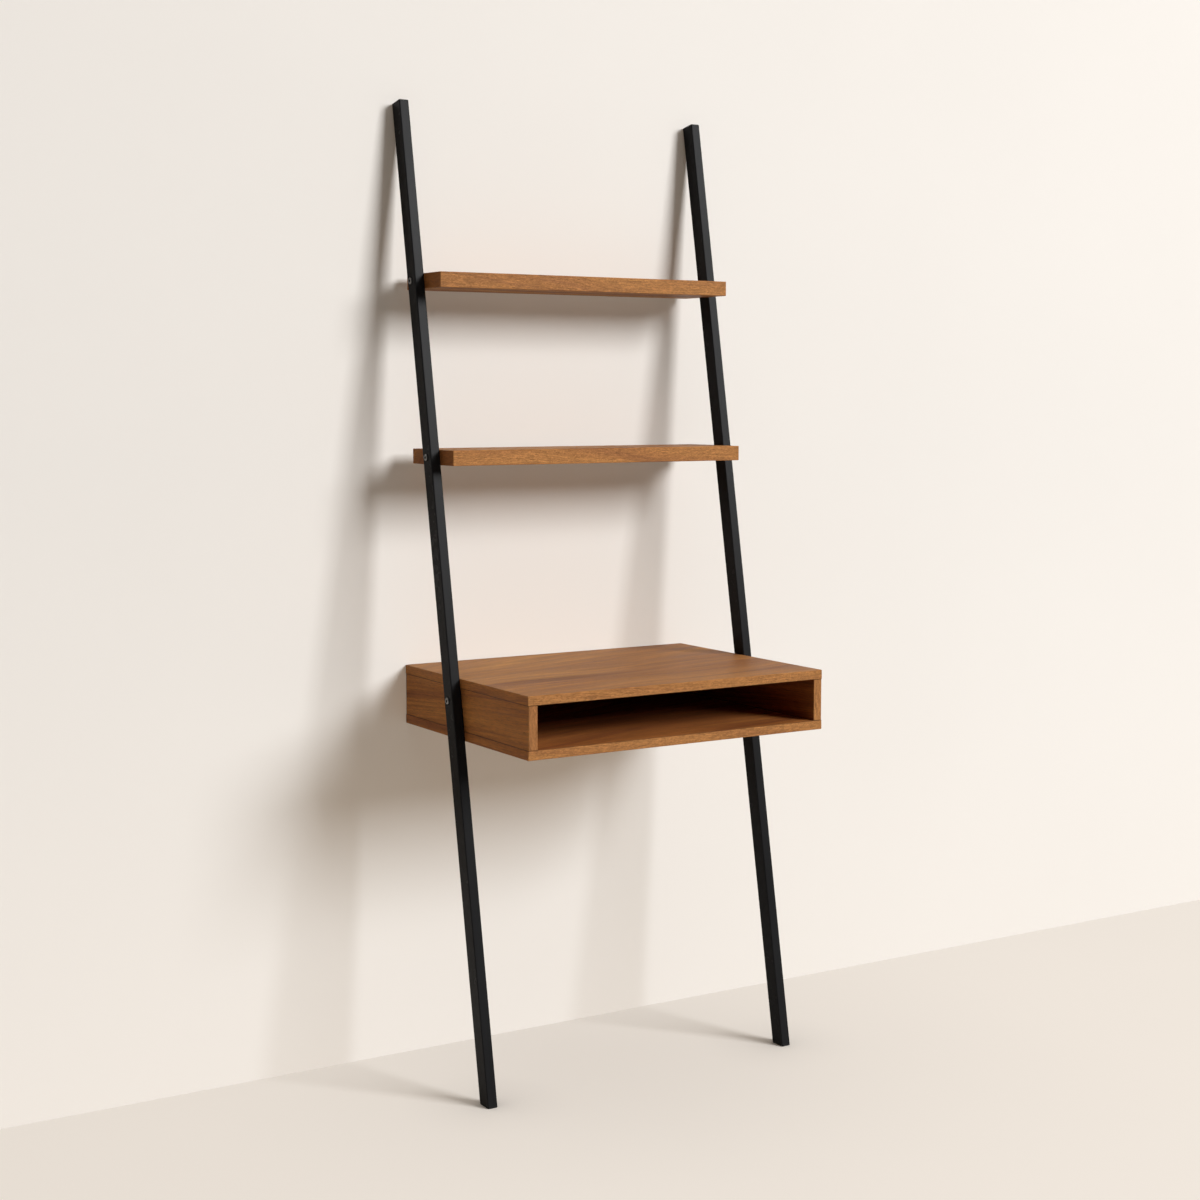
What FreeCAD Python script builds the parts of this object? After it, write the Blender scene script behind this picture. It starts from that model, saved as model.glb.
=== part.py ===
import FreeCAD, Part
import os

import Sketcher
from FreeCAD import Vector

# Ladder desk. Two steel tubes stand on the floor and lean on the wall. Between them they carry
# two shelves and, at desk height, a box that is open at the front.
# X runs along the boards, +Y points at the wall and Z is up. The origin is on the floor, in the
# middle of the width and of the depth. Lengths are in millimetres and angles in degrees.

SIZES = {
    # The whole desk
    "overall_height": 1800,
    "lean_angle": 10.25,
    "clear_width": 628,  # between the rails, which is the length of every board
    # Rails: rectangular tube
    "tube_width": 19,
    "tube_depth": 32,
    "tube_wall": 1.5,
    "tube_inner_radius": 0.5,
    # Caps and feet: moulded plugs
    "cap_flange": 2,
    "cap_edge_chamfer": 0.5,
    "cap_plug_length": 14,
    "foot_sole": 3,
    "foot_edge_chamfer": 0.8,
    "foot_plug_length": 20,
    "plug_wall": 2,
    "plug_clearance": 0.15,
    # Shelves
    "shelf_thickness": 28,
    "shelf_edge_chamfer": 0.8,
    "upper_shelf_height": 1481,  # floor to the top face
    "upper_shelf_depth": 136,
    "upper_shelf_behind_rail": 40,
    "middle_shelf_height": 1160,
    "middle_shelf_depth": 163,
    "middle_shelf_behind_rail": 79,
    # Desk box
    "desk_height": 750,  # floor to the desktop
    "desk_depth": 470,
    "desk_box_height": 111,
    "desk_panel_thickness": 17,
    "desk_side_thickness": 17.5,
    "desk_side_reveal": 1,
    "desk_back_thickness": 15,
    "desk_edge_chamfer": 0.7,
    # Bolts through the rails
    "bolt_from_back": 13,  # measured square to the rail's back face
    "desk_bolt_below_top": 40.4,
    "bolt_diameter": 6,
    "bolt_length": 30,
    "bolt_hole_clearance": 0.4,
    "head_diameter": 12,
    "head_height": 2.2,
    "head_rim_chamfer": 0.7,
    "socket_across_flats": 4,
    "socket_depth": 1.6,
    # Crush sleeves and threaded inserts
    "sleeve_diameter": 10,
    "insert_diameter": 10,
    "insert_length": 13,
    "insert_flange_diameter": 16,
    "insert_clearance": 0.2,
    "thread_clearance": 0.1,
    "hole_end_gap": 0.5,
    # Locating pins
    "pin_diameter": 5,
    "pin_in_board": 10,
    "pin_in_tube": 4,
    "pin_clearance": 0.2,
    "shelf_pin_spacing": 11,  # in front of the bolt
    "desk_pin_drop": 32,  # below the bolt
    # Dowels of the desk box
    "dowel_diameter": 8,
    "dowel_length": 25,
    "dowel_in_panel": 10,
    "dowel_clearance": 0.2,
    "dowel_from_edge": 55,
    "dowel_ahead_of_bolt": 45,
    "back_dowel_spacing": 44,
    # Screw holes to the wall
    "wall_screw_diameter": 5,
    "wall_screw_head": 10,
    "wall_screw_spacing": 500,
    "wall_screw_below_top": 15,
}

SIDES = {"left": -1, "right": 1}
SHELVES = ("upper", "middle")
STATIONS = ("upper", "middle", "desk")
Y_AXIS, Z_AXIS = Vector(0, 1, 0), Vector(0, 0, 1)
CUT_MARGIN = 1  # how far a cutting profile stands out of what it cuts
NEAR = 1e-4


def up_rail(height, from_back):
    """Distance up the rail of a point at a height and at a distance in front of the back face."""
    return f"({height} - ({from_back}) * sin(Sizes.lean_angle)) / cos(Sizes.lean_angle)"


def rail_y(height, from_back):
    """Y of that point."""
    return f"rail_foot_y + ({height}) * tan(Sizes.lean_angle) - ({from_back}) / cos(Sizes.lean_angle)"


LAYOUT = {
    "wall_y": "Sizes.desk_depth / 2",
    "rail_x": "(Sizes.clear_width + Sizes.tube_width) / 2",
    "rail_length": "(Sizes.overall_height - Sizes.tube_depth * sin(Sizes.lean_angle))"
    " / cos(Sizes.lean_angle)",
    "rail_foot_y": "wall_y - rail_length * sin(Sizes.lean_angle)",
    "tube_start": "-Sizes.tube_depth * tan(Sizes.lean_angle)",
    "tube_end": "rail_length - Sizes.cap_flange",
    "tube_outer_radius": "Sizes.tube_inner_radius + Sizes.tube_wall",
    "plug_inset": "Sizes.tube_wall + Sizes.plug_clearance",
    "bolt_hole": "Sizes.bolt_diameter + Sizes.bolt_hole_clearance",
    "insert_hole": "Sizes.insert_diameter + Sizes.insert_clearance",
    "insert_hole_depth": "max(Sizes.insert_length; Sizes.bolt_length - Sizes.tube_width)"
    " + Sizes.hole_end_gap",
    "pin_hole": "Sizes.pin_diameter + Sizes.pin_clearance",
    "pin_hole_depth": "Sizes.pin_in_board + Sizes.hole_end_gap",
    "dowel_hole": "Sizes.dowel_diameter + Sizes.dowel_clearance",
    "dowel_in_side": "Sizes.dowel_length - Sizes.dowel_in_panel",
    "dowel_edge_y": "Sizes.desk_depth / 2 - Sizes.dowel_from_edge",
    "desk_side_height": "Sizes.desk_box_height - 2 * Sizes.desk_panel_thickness",
    "desk_side_base": "Sizes.desk_height - Sizes.desk_box_height + Sizes.desk_panel_thickness",
    "desk_side_x": "(Sizes.clear_width - Sizes.desk_side_thickness) / 2 - Sizes.desk_side_reveal",
    "desk_inner_width": "Sizes.clear_width - 2 * (Sizes.desk_side_thickness + Sizes.desk_side_reveal)",
    "desk_back_y": "(Sizes.desk_depth - Sizes.desk_back_thickness) / 2",
    "desk_bolt_height": "Sizes.desk_height - Sizes.desk_bolt_below_top",
    "desk_pin_height": "desk_bolt_height - Sizes.desk_pin_drop",
    "desk_pin_from_back": "Sizes.bolt_from_back",
}
for shelf in SHELVES:
    LAYOUT[f"{shelf}_bolt_height"] = f"Sizes.{shelf}_shelf_height - Sizes.shelf_thickness / 2"
    LAYOUT[f"{shelf}_pin_height"] = f"{shelf}_bolt_height"
    LAYOUT[f"{shelf}_pin_from_back"] = "Sizes.bolt_from_back + Sizes.shelf_pin_spacing"
    back_face = rail_y(f"{shelf}_bolt_height", "0")
    overhang = f"Sizes.{shelf}_shelf_behind_rail"
    LAYOUT[f"{shelf}_shelf_y"] = f"{back_face} + {overhang} - Sizes.{shelf}_shelf_depth / 2"
for station in STATIONS:
    bolt = (f"{station}_bolt_height", "Sizes.bolt_from_back")
    pin = (f"{station}_pin_height", f"{station}_pin_from_back")
    LAYOUT[f"{station}_bolt_y"] = rail_y(*bolt)
    LAYOUT[f"{station}_bolt_up_rail"] = up_rail(*bolt)
    LAYOUT[f"{station}_pin_y"] = rail_y(*pin)
    LAYOUT[f"{station}_pin_up_rail"] = up_rail(*pin)

doc = FreeCAD.newDocument("LadderDesk")


def fill_sheet(name, cells, prefix=""):
    """A sheet with a name in column A and its value or formula, under that alias, in column B."""
    sheet = doc.addObject("Spreadsheet::Sheet", name)
    for row, (alias, content) in enumerate(cells.items(), 1):
        sheet.set(f"A{row}", alias)
        sheet.set(f"B{row}", f"{prefix}{content}")
        sheet.setAlias(f"B{row}", alias)
    doc.recompute()
    return sheet


fill_sheet("Sizes", SIZES)
fill_sheet("Layout", LAYOUT, prefix="=")


# Bodies, sketches and features


def new_body(label, base, turn=None):
    """A body whose Placement is bound to its place and, if given, to a turn: an axis and an angle."""
    body = doc.addObject("PartDesign::Body", label)
    body.Label = label
    body.AllowCompound = True
    axis, angle = turn or ("0; 0; 1", "0")
    place = "; ".join(str(part) for part in base)
    body.setExpression("Placement", f"placement(vector({place}); rotation(vector({axis}); {angle}))")
    return body


def origin_feature(body, role):
    return next(item for item in body.Origin.OriginFeatures if item.Role == role)


def new_sketch(body, name, plane, level="0"):
    """A sketch on one of the body's own origin planes, moved along the plane's normal."""
    sketch = body.newObject("Sketcher::SketchObject", name)
    sketch.AttachmentSupport = [(origin_feature(body, plane), "")]
    sketch.MapMode = "FlatFace"
    sketch.setExpression("AttachmentOffset.Base.z", level)
    return sketch


def bind(sketch, kind, value, *elements):
    """A dimension of the sketch, bound to an expression."""
    start = float(sketch.evalExpression(value))
    index = sketch.addConstraint(Sketcher.Constraint(kind, *elements, start))
    sketch.setExpression(f"Constraints[{index}]", value)


def corner_point(sketch, corner):
    x, y = corner
    return Vector(sketch.evalExpression(x), sketch.evalExpression(y), 0)


def fix_point(sketch, element, end, place):
    """Holds one point of an element at a place measured from the sketch's origin."""
    bind(sketch, "DistanceX", place[0], -1, 1, element, end)
    bind(sketch, "DistanceY", place[1], -1, 1, element, end)


def polygon(sketch, corners):
    """A closed outline of straight lines through the corners."""
    points = [corner_point(sketch, corner) for corner in corners]
    count = len(points)
    first = sketch.GeometryCount
    for i in range(count):
        sketch.addGeometry(Part.LineSegment(points[i], points[(i + 1) % count]), False)
    for i in range(count):
        after = first + (i + 1) % count
        sketch.addConstraint(Sketcher.Constraint("Coincident", first + i, 2, after, 1))
        fix_point(sketch, first + i, 1, corners[i])


def rectangle(sketch, left, right, low, high):
    polygon(sketch, [(left, low), (right, low), (right, high), (left, high)])


def rounded_rectangle(sketch, left, right, low, high, radius):
    """A rectangle whose corners are tangent arcs of one radius."""
    x0, y0 = corner_point(sketch, (left, low))[:2]
    x1, y1 = corner_point(sketch, (right, high))[:2]
    bend = float(sketch.evalExpression(radius))
    # Each corner of the straight-sided form, with the directions in which its two sides leave it.
    corners = [
        (Vector(x0, y0, 0), Vector(0, 1, 0), Vector(1, 0, 0)),
        (Vector(x1, y0, 0), Vector(-1, 0, 0), Vector(0, 1, 0)),
        (Vector(x1, y1, 0), Vector(0, -1, 0), Vector(-1, 0, 0)),
        (Vector(x0, y1, 0), Vector(1, 0, 0), Vector(0, -1, 0)),
    ]
    ends = [(corner + back * bend, corner + on * bend) for corner, back, on in corners]
    halfway = bend * (1 - 0.5**0.5)
    first = sketch.GeometryCount
    for i, (corner, back, on) in enumerate(corners):
        middle = corner + (back + on) * halfway
        sketch.addGeometry(Part.Arc(ends[i][0], middle, ends[i][1]), False)
        sketch.addGeometry(Part.LineSegment(ends[i][1], ends[(i + 1) % 4][0]), False)
    for i in range(4):
        arc, line = first + 2 * i, first + 2 * i + 1
        next_arc = first + 2 * ((i + 1) % 4)
        sketch.addConstraint(Sketcher.Constraint("Tangent", arc, 2, line, 1))
        sketch.addConstraint(Sketcher.Constraint("Tangent", line, 2, next_arc, 1))
        sketch.addConstraint(Sketcher.Constraint("Vertical" if i % 2 else "Horizontal", line))
        if i:
            sketch.addConstraint(Sketcher.Constraint("Equal", first, arc))
    bind(sketch, "Radius", radius, first)
    bind(sketch, "DistanceY", low, -1, 1, first + 1, 1)
    bind(sketch, "DistanceX", right, -1, 1, first + 3, 1)
    bind(sketch, "DistanceY", high, -1, 1, first + 5, 1)
    bind(sketch, "DistanceX", left, -1, 1, first + 7, 1)


def circles(sketch, spots, diameter):
    for spot in spots:
        radius = float(sketch.evalExpression(diameter)) / 2
        circle = Part.Circle(corner_point(sketch, spot), Vector(0, 0, 1), radius)
        index = sketch.addGeometry(circle, False)
        bind(sketch, "Diameter", diameter, index)
        fix_point(sketch, index, 3, spot)


def pad(body, sketch, length, towards=1):
    """Material from the sketch, along its normal or against it."""
    feature = body.newObject("PartDesign::Pad", f"{sketch.Name}Pad")
    feature.Profile = sketch
    feature.Reversed = towards < 0
    feature.setExpression("Length", length)
    doc.recompute()
    return feature


def pocket(body, sketch, length=None, towards=-1):
    """A cut from the sketch, along its normal or against it, or right through both ways."""
    before = body.Shape.Volume
    feature = body.newObject("PartDesign::Pocket", f"{sketch.Name}Cut")
    feature.Profile = sketch
    feature.Reversed = towards > 0
    if length is None:
        feature.Type = "ThroughAll"
        feature.SideType = "Symmetric"
    else:
        feature.setExpression("Length", length)
    doc.recompute()
    if not feature.Shape.Volume < before - NEAR:
        raise RuntimeError(f"{feature.Name} cuts nothing")
    return feature


def revolve(body, sketch):
    """A full turn of the sketch about the body's X axis."""
    feature = body.newObject("PartDesign::Revolution", f"{sketch.Name}Turn")
    feature.Profile = sketch
    feature.ReferenceAxis = (origin_feature(body, "X_Axis"), [""])
    feature.Angle = 360
    doc.recompute()
    return feature


def mirror(body, features):
    """The features again on the other side of the body's YZ plane."""
    feature = body.newObject("PartDesign::Mirrored", "BothEnds")
    feature.Originals = features
    feature.MirrorPlane = (origin_feature(body, "YZ_Plane"), [""])
    body.Tip = feature
    doc.recompute()
    return feature


def edges_in_plane(feature, direction, distance):
    """Names of the edges in the plane that is square to a direction, at a distance along it."""
    level = float(feature.evalExpression(distance))
    names = []
    for number, edge in enumerate(feature.Shape.Edges, 1):
        if all(abs(point.dot(direction) - level) < NEAR for point in edge.discretize(3)):
            names.append(f"Edge{number}")
    return names


def chamfer(body, base, size, edges=None):
    """A chamfer on some edges of the base feature, or on all of them."""
    feature = body.newObject("PartDesign::Chamfer", f"{base.Name}Edges")
    feature.Base = (base, edges or [""])
    feature.UseAllEdges = edges is None
    feature.setExpression("Size", size)
    body.Tip = feature
    doc.recompute()
    return feature


# Rails, caps and feet. In their frame Z runs up the rail and Y = 0 is the rail's back face.


def rail_frame(label, side):
    place = (f"{SIDES[side]} * Layout.rail_x", "Layout.rail_foot_y", "0")
    return new_body(label, place, turn=("1; 0; 0", "-Sizes.lean_angle"))


def tube_section(sketch, inset, radius):
    """The tube's outline, moved inwards."""
    half = f"(Sizes.tube_width / 2 - ({inset}))"
    rounded_rectangle(sketch, f"-{half}", half, f"-Sizes.tube_depth + ({inset})", f"-({inset})", radius)


def level_cut(body, name, height, far):
    """Cuts away all between the level plane at a height above the floor and a place on the rail."""
    front, back = f"-Sizes.tube_depth - {CUT_MARGIN}", f"{CUT_MARGIN}"
    level = [f"({height} + ({y}) * sin(Sizes.lean_angle)) / cos(Sizes.lean_angle)" for y in (front, back)]
    sketch = new_sketch(body, name, "YZ_Plane")
    polygon(sketch, [(front, level[0]), (back, level[1]), (back, far), (front, far)])
    return pocket(body, sketch)


def rail(side):
    """A length of tube, cut level above the foot's sole and drilled at the three stations."""
    body = rail_frame(f"{side}_rail", side)
    section = new_sketch(body, "TubeSection", "XY_Plane", "Layout.tube_start")
    tube_section(section, "0", "Layout.tube_outer_radius")
    tube_section(section, "Sizes.tube_wall", "Sizes.tube_inner_radius")
    pad(body, section, "Layout.tube_end - Layout.tube_start")
    level_cut(body, "FootCut", "Sizes.foot_sole", f"Layout.tube_start - {CUT_MARGIN}")

    bolt_holes = new_sketch(body, "BoltHoles", "YZ_Plane")
    bolt_spots = [("-Sizes.bolt_from_back", f"Layout.{station}_bolt_up_rail") for station in STATIONS]
    circles(bolt_holes, bolt_spots, "Layout.bolt_hole")
    pocket(body, bolt_holes)

    pin_holes = new_sketch(body, "PinHoles", "YZ_Plane")
    pin_spots = [(f"-Layout.{name}_pin_from_back", f"Layout.{name}_pin_up_rail") for name in STATIONS]
    circles(pin_holes, pin_spots, "Layout.pin_hole")
    pocket(body, pin_holes, "Sizes.tube_width", towards=-SIDES[side])
    return body


def top_cap(side):
    """A flange that closes the tube, over a hollow plug."""
    body = rail_frame(f"{side}_top_cap", side)
    flange = new_sketch(body, "Flange", "XY_Plane", "Layout.tube_end")
    tube_section(flange, "0", "Layout.tube_outer_radius")
    flange_pad = pad(body, flange, "Sizes.cap_flange")
    rim = edges_in_plane(flange_pad, Z_AXIS, "Layout.rail_length")
    chamfer(body, flange_pad, "Sizes.cap_edge_chamfer", rim)

    plug = new_sketch(body, "Plug", "XY_Plane", "Layout.tube_end")
    tube_section(plug, "Layout.plug_inset", "Sizes.tube_inner_radius")
    pad(body, plug, "Sizes.cap_plug_length", towards=-1)
    hollow = new_sketch(body, "Hollow", "XY_Plane", "Layout.tube_end - Sizes.cap_plug_length")
    tube_section(hollow, "Layout.plug_inset + Sizes.plug_wall", "Sizes.tube_inner_radius")
    pocket(body, hollow, "Sizes.cap_plug_length", towards=1)
    return body


def foot(side):
    """A sole that is level on the floor, and a hollow plug that follows the tube."""
    body = rail_frame(f"{side}_foot", side)
    sole_back = "Sizes.foot_sole / cos(Sizes.lean_angle)"
    sole = new_sketch(body, "Sole", "XY_Plane", "Layout.tube_start")
    tube_section(sole, "0", "Layout.tube_outer_radius")
    pad(body, sole, f"{sole_back} - Layout.tube_start")
    level_cut(body, "SoleTop", "Sizes.foot_sole", f"{sole_back} + {CUT_MARGIN}")

    plug = new_sketch(body, "Plug", "XY_Plane", "Layout.tube_start")
    tube_section(plug, "Layout.plug_inset", "Sizes.tube_inner_radius")
    pad(body, plug, "Sizes.foot_plug_length - Layout.tube_start")
    hollow = new_sketch(body, "Hollow", "XY_Plane", "Sizes.foot_plug_length")
    tube_section(hollow, "Layout.plug_inset + Sizes.plug_wall", "Sizes.tube_inner_radius")
    pocket(body, hollow, f"Sizes.foot_plug_length - {sole_back}")
    sole_cut = level_cut(body, "SoleBottom", "0", f"Layout.tube_start - {CUT_MARGIN}")
    up = body.Placement.Rotation.inverted().multVec(Z_AXIS)
    chamfer(body, sole_cut, "Sizes.foot_edge_chamfer", edges_in_plane(sole_cut, up, "0"))
    return body


# Boards. In their frame Z = 0 is the underside.


def board(label, place, length, depth, thickness):
    """A rectangular board, centred on its frame's X and Y. Returns its body and its first feature."""
    body = new_body(label, place)
    outline = new_sketch(body, "Outline", "XY_Plane")
    rectangle(outline, f"-({length}) / 2", f"({length}) / 2", f"-({depth}) / 2", f"({depth}) / 2")
    return body, pad(body, outline, thickness)


def drill(body, name, plane, level, spots, diameter, depth, towards):
    """Blind holes of one diameter and depth."""
    sketch = new_sketch(body, name, plane, level)
    circles(sketch, spots, diameter)
    return pocket(body, sketch, depth, towards)


def shelf_board(name):
    """A shelf, drilled at both ends for its insert and its pin."""
    height = f"Sizes.{name}_shelf_height - Sizes.shelf_thickness"
    middle = f"Layout.{name}_shelf_y"
    depth = f"Sizes.{name}_shelf_depth"
    body, block = board(
        f"{name}_shelf", ("0", middle, height), "Sizes.clear_width", depth, "Sizes.shelf_thickness"
    )
    chamfer(body, block, "Sizes.shelf_edge_chamfer")

    end = "-Sizes.clear_width / 2"
    half_height = "Sizes.shelf_thickness / 2"
    holes = []
    for part, fitting in (("bolt", "insert"), ("pin", "pin")):
        spot = (f"Layout.{name}_{part}_y - {middle}", half_height)
        diameter, depth = f"Layout.{fitting}_hole", f"Layout.{fitting}_hole_depth"
        holes.append(drill(body, f"{fitting}Holes", "YZ_Plane", end, [spot], diameter, depth, towards=1))
    mirror(body, holes)
    return body


def dowel_places():
    """Y of the dowels in each joint between a side and the desk's top or bottom."""
    middle = "Layout.desk_bolt_y - Sizes.dowel_ahead_of_bolt"
    return ["-Layout.dowel_edge_y", middle, "Layout.dowel_edge_y"]


def desk_panel(label, base, joint_face, towards):
    """The desk's top or bottom, drilled for the dowels of both sides on the face that joins them."""
    body, block = board(
        label, ("0", "0", base), "Sizes.clear_width", "Sizes.desk_depth", "Sizes.desk_panel_thickness"
    )
    chamfer(body, block, "Sizes.desk_edge_chamfer")
    spots = [("Layout.desk_side_x", y) for y in dowel_places()]
    depth = "Sizes.dowel_in_panel + Sizes.hole_end_gap"
    holes = drill(body, "DowelHoles", "XY_Plane", joint_face, spots, "Layout.dowel_hole", depth, towards)
    mirror(body, [holes])
    return body


def desk_side(side):
    """A side of the desk box, drilled on its outer face, its inner face and both edges."""
    end = SIDES[side]
    place = (f"{end} * Layout.desk_side_x", "0", "Layout.desk_side_base")
    body, block = board(
        f"desk_{side}_side", place, "Sizes.desk_side_thickness", "Sizes.desk_depth", "Layout.desk_side_height"
    )
    front = edges_in_plane(block, Y_AXIS, "-Sizes.desk_depth / 2")
    chamfer(body, block, "Sizes.desk_edge_chamfer", front)

    outer_face = f"{end} * Sizes.desk_side_thickness / 2"
    for part, fitting in (("bolt", "insert"), ("pin", "pin")):
        spot = (f"Layout.desk_{part}_y", f"Layout.desk_{part}_height - Layout.desk_side_base")
        diameter, depth = f"Layout.{fitting}_hole", f"Layout.{fitting}_hole_depth"
        drill(body, f"{fitting}Hole", "YZ_Plane", outer_face, [spot], diameter, depth, towards=-end)

    spots = [("0", y) for y in dowel_places()]
    depth = "Layout.dowel_in_side + Sizes.hole_end_gap"
    drill(body, "TopHoles", "XY_Plane", "Layout.desk_side_height", spots, "Layout.dowel_hole", depth, -1)
    drill(body, "BottomHoles", "XY_Plane", "0", spots, "Layout.dowel_hole", depth, 1)

    inner_face = f"{-end} * Sizes.desk_side_thickness / 2"
    depth = "Sizes.dowel_in_panel + Sizes.hole_end_gap"
    spots = back_dowel_spots("Layout.desk_back_y")
    drill(body, "BackHoles", "YZ_Plane", inner_face, spots, "Layout.dowel_hole", depth, towards=end)
    return body


def back_dowel_spots(y):
    """Y and height of the dowels between a side and the back, above the sides' underside."""
    middle, half = "Layout.desk_side_height / 2", "Sizes.back_dowel_spacing / 2"
    return [(y, f"{middle} - {half}"), (y, f"{middle} + {half}")]


def desk_back():
    """The back, between the sides, with dowel holes in its ends and screw holes to the wall."""
    place = ("0", "Layout.desk_back_y", "Layout.desk_side_base")
    body, _ = board(
        "desk_back", place, "Layout.desk_inner_width", "Sizes.desk_back_thickness", "Layout.desk_side_height"
    )
    end = "-Layout.desk_inner_width / 2"
    depth = "Layout.dowel_in_side + Sizes.hole_end_gap"
    spots = back_dowel_spots("0")
    holes = drill(body, "DowelHoles", "YZ_Plane", end, spots, "Layout.dowel_hole", depth, towards=1)
    mirror(body, [holes])

    front_face = "Sizes.desk_back_thickness / 2"
    sketch = new_sketch(body, "WallScrews", "XZ_Plane", front_face)
    height = "Layout.desk_side_height - Sizes.wall_screw_below_top"
    half = "Sizes.wall_screw_spacing / 2"
    circles(sketch, [(f"-{half}", height), (half, height)], "Sizes.wall_screw_diameter")
    doc.recompute()
    before = body.Shape.Volume
    hole = body.newObject("PartDesign::Hole", "WallScrewHoles")
    hole.Profile = sketch
    hole.DepthType = "ThroughAll"
    hole.setExpression("Diameter", "Sizes.wall_screw_diameter")
    hole.HoleCutType = "Countersink"
    hole.HoleCutCustomValues = True
    hole.HoleCutCountersinkAngle = 90
    hole.setExpression("HoleCutDiameter", "Sizes.wall_screw_head")
    doc.recompute()
    if not hole.Shape.Volume < before - NEAR:
        raise RuntimeError("WallScrewHoles cuts nothing")
    return body


# Fasteners. In their frame X = 0 is the rail's inner face and +X points into the board.


def fastener_frame(label, side, station, line):
    """A frame on the station's bolt line or pin line."""
    end = SIDES[side]
    line = f"Layout.{station}_{line}"
    place = (f"{end} * Sizes.clear_width / 2", f"{line}_y", f"{line}_height")
    return new_body(label, place, turn=("0; 0; 1", "0" if end < 0 else "180"))


def board_face(station):
    """X of the board's drilled face: the desk's sides are set back from the rails."""
    return "Sizes.desk_side_reveal" if station == "desk" else "0"


def bolt_part(side, station):
    """A flat-headed bolt with a hexagon socket. Its head lies on the rail's outer face."""
    body = fastener_frame(f"{side}_{station}_bolt", side, station, "bolt")
    seat = "-Sizes.tube_width"
    top = f"{seat} - Sizes.head_height"
    tip = f"{seat} + Sizes.bolt_length"
    head, shank = "Sizes.head_diameter / 2", "Sizes.bolt_diameter / 2"
    rim = "Sizes.head_rim_chamfer"
    rim_corners = [(f"{top} + {rim}", head), (top, f"{head} - {rim}")]
    profile = new_sketch(body, "Profile", "XY_Plane")
    polygon(profile, [(top, "0"), (tip, "0"), (tip, shank), (seat, shank), (seat, head), *rim_corners])
    revolve(body, profile)

    socket = new_sketch(body, "Socket", "YZ_Plane", top)
    across_corners = "Sizes.socket_across_flats / 2 / cos(30)"
    corners = [(f"{across_corners} * cos({60 * i})", f"{across_corners} * sin({60 * i})") for i in range(6)]
    polygon(socket, corners)
    pocket(body, socket, "Sizes.socket_depth", towards=1)
    return body


def sleeve(side, station):
    """A spacer round the bolt that keeps the tube's walls apart."""
    body = fastener_frame(f"{side}_{station}_sleeve", side, station, "bolt")
    profile = new_sketch(body, "Profile", "XY_Plane")
    outer_wall = "-Sizes.tube_width + Sizes.tube_wall"
    rectangle(profile, outer_wall, "-Sizes.tube_wall", "Layout.bolt_hole / 2", "Sizes.sleeve_diameter / 2")
    revolve(body, profile)
    return body


def insert(side, station):
    """A threaded insert in the board. At the desk its flange fills the gap beside the rail."""
    body = fastener_frame(f"{side}_{station}_insert", side, station, "bolt")
    face = board_face(station)
    end = f"{face} + Sizes.insert_length"
    bore = "(Sizes.bolt_diameter + Sizes.thread_clearance) / 2"
    outside = "Sizes.insert_diameter / 2"
    corners = [(face, outside), (end, outside), (end, bore)]
    if station == "desk":
        flange = "Sizes.insert_flange_diameter / 2"
        corners += [("0", bore), ("0", flange), (face, flange)]
    else:
        corners += [(face, bore)]
    profile = new_sketch(body, "Profile", "XY_Plane")
    polygon(profile, corners)
    revolve(body, profile)
    return body


def pin_part(side, station):
    """A pin from inside the tube, through its wall, into the board."""
    body = fastener_frame(f"{side}_{station}_pin", side, station, "pin")
    start = "-Sizes.tube_wall - Sizes.pin_in_tube"
    end = f"{board_face(station)} + Sizes.pin_in_board"
    profile = new_sketch(body, "Profile", "XY_Plane")
    rectangle(profile, start, end, "0", "Sizes.pin_diameter / 2")
    revolve(body, profile)
    return body


def dowels(label, place, plane, spots, start):
    """Dowels on one side of the desk and, mirrored, on the other."""
    body = new_body(label, place)
    sketch = new_sketch(body, "DowelEnds", plane, start)
    circles(sketch, spots, "Sizes.dowel_diameter")
    one_side = pad(body, sketch, "Sizes.dowel_length")
    mirror(body, [one_side])
    return body


def box_dowels():
    """The dowels of the desk box: top to sides, bottom to sides, and back to sides."""
    upright = [("Layout.desk_side_x", y) for y in dowel_places()]
    level = back_dowel_spots("Layout.desk_back_y")
    top_joint = ("0", "0", "Layout.desk_side_base + Layout.desk_side_height")
    bottom_joint = ("0", "0", "Layout.desk_side_base")
    back_start = "Layout.desk_inner_width / 2 - Layout.dowel_in_side"
    return [
        dowels("desk_top_dowels", top_joint, "XY_Plane", upright, "-Layout.dowel_in_side"),
        dowels("desk_bottom_dowels", bottom_joint, "XY_Plane", upright, "-Sizes.dowel_in_panel"),
        dowels("desk_back_dowels", bottom_joint, "YZ_Plane", level, back_start),
    ]


def build():
    """Every sub-part of the desk."""
    parts = [make(side) for make in (rail, top_cap, foot, desk_side) for side in SIDES]
    parts += [shelf_board(name) for name in SHELVES]
    thickness = "Sizes.desk_panel_thickness"
    parts.append(desk_panel("desk_top", f"Sizes.desk_height - {thickness}", "0", towards=1))
    parts.append(desk_panel("desk_bottom", f"Layout.desk_side_base - {thickness}", thickness, towards=-1))
    parts.append(desk_back())
    fasteners = (bolt_part, sleeve, insert, pin_part)
    parts += [make(side, station) for make in fasteners for side in SIDES for station in STATIONS]
    parts += box_dowels()
    return parts


def check(parts):
    """Raises if an object of the document failed or a sub-part has no sound shape."""
    for item in doc.Objects:
        if "Invalid" in item.State or "Error" in item.State:
            raise RuntimeError(f"{item.Label}: {item.State}")
    for part in parts:
        if part.Shape.isNull() or not part.Shape.isValid() or not part.Shape.Solids:
            raise RuntimeError(f"{part.Label} has no sound shape")


def write(parts):
    os.makedirs("parts", exist_ok=True)
    for part in parts:
        part.Shape.exportStep(f"parts/{part.Label}.step")


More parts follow.
